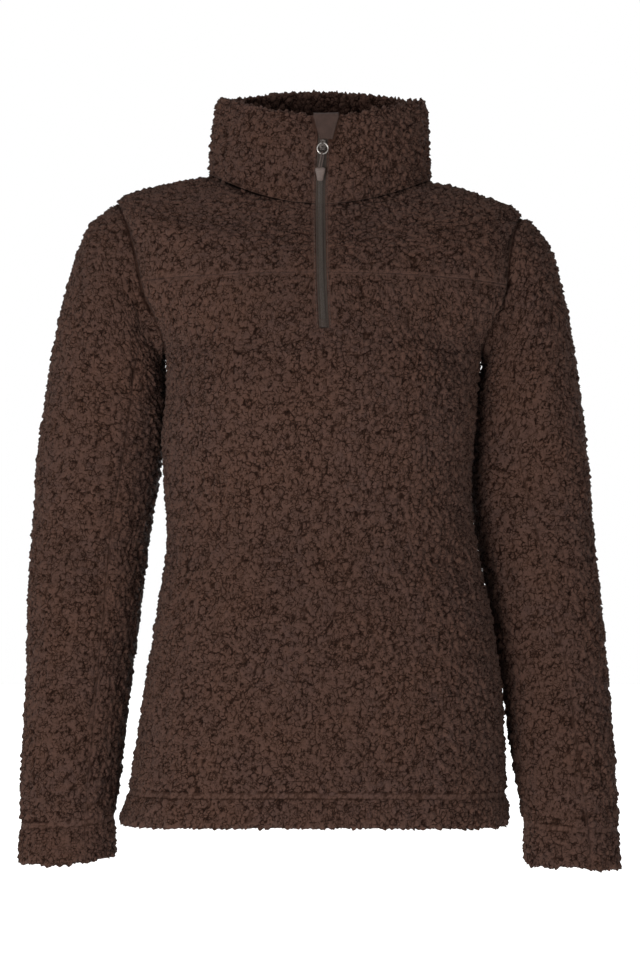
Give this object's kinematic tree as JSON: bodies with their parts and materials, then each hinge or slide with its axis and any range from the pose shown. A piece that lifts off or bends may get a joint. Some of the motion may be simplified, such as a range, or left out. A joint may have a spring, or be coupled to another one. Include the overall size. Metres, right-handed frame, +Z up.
{
  "type": "sherpa fleece pullover",
  "caption": "Long-sleeved sherpa fleece pullover with a funnel collar, a short front zip and a shaped waist, filled out as if worn.",
  "frame": {"origin": "middle of the neck base, where the wearer's shoulders carry the garment", "axes": "+Z up, front towards -Y, the wearer's left arm at +X"},
  "size_m": [0.6041, 0.26, 0.7827],
  "materials": {
    "sherpa": "high-pile sherpa fleece, chocolate brown, matt with a soft sheen",
    "woven": "smooth brown woven cloth",
    "zip_tape": "grey-brown knitted zip tape",
    "zip_coil": "grey-brown plastic coil",
    "metal": "dark nickel",
    "cord": "brown braided cord",
    "moulded": "soft moulded brown plastic"
  },
  "bodies": {
    "garment": {"front_body": "sherpa", "front_yoke_left": "sherpa", "front_yoke_right": "sherpa", "back_body": "sherpa", "collar": "sherpa", "sleeve_upper_left": "sherpa", "sleeve_under_left": "sherpa", "sleeve_upper_right": "sherpa", "sleeve_under_right": "sherpa", "zip_guard": "woven", "zip_tape_left": "zip_tape", "zip_tape_right": "zip_tape", "zip_coil": "zip_coil", "zip_slider": "metal"},
    "pull": {"pull_ring": "metal", "pull_cord": "cord", "pull_tip": "moulded"}
  },
  "joints": [
    {"name": "pull_swing", "type": "hinge", "parent": "garment", "child": "pull", "pos_m": [0.0026, -0.0849, 0.033], "axis": [-1, 0, 0], "range_deg": [0, 150]}
  ]
}
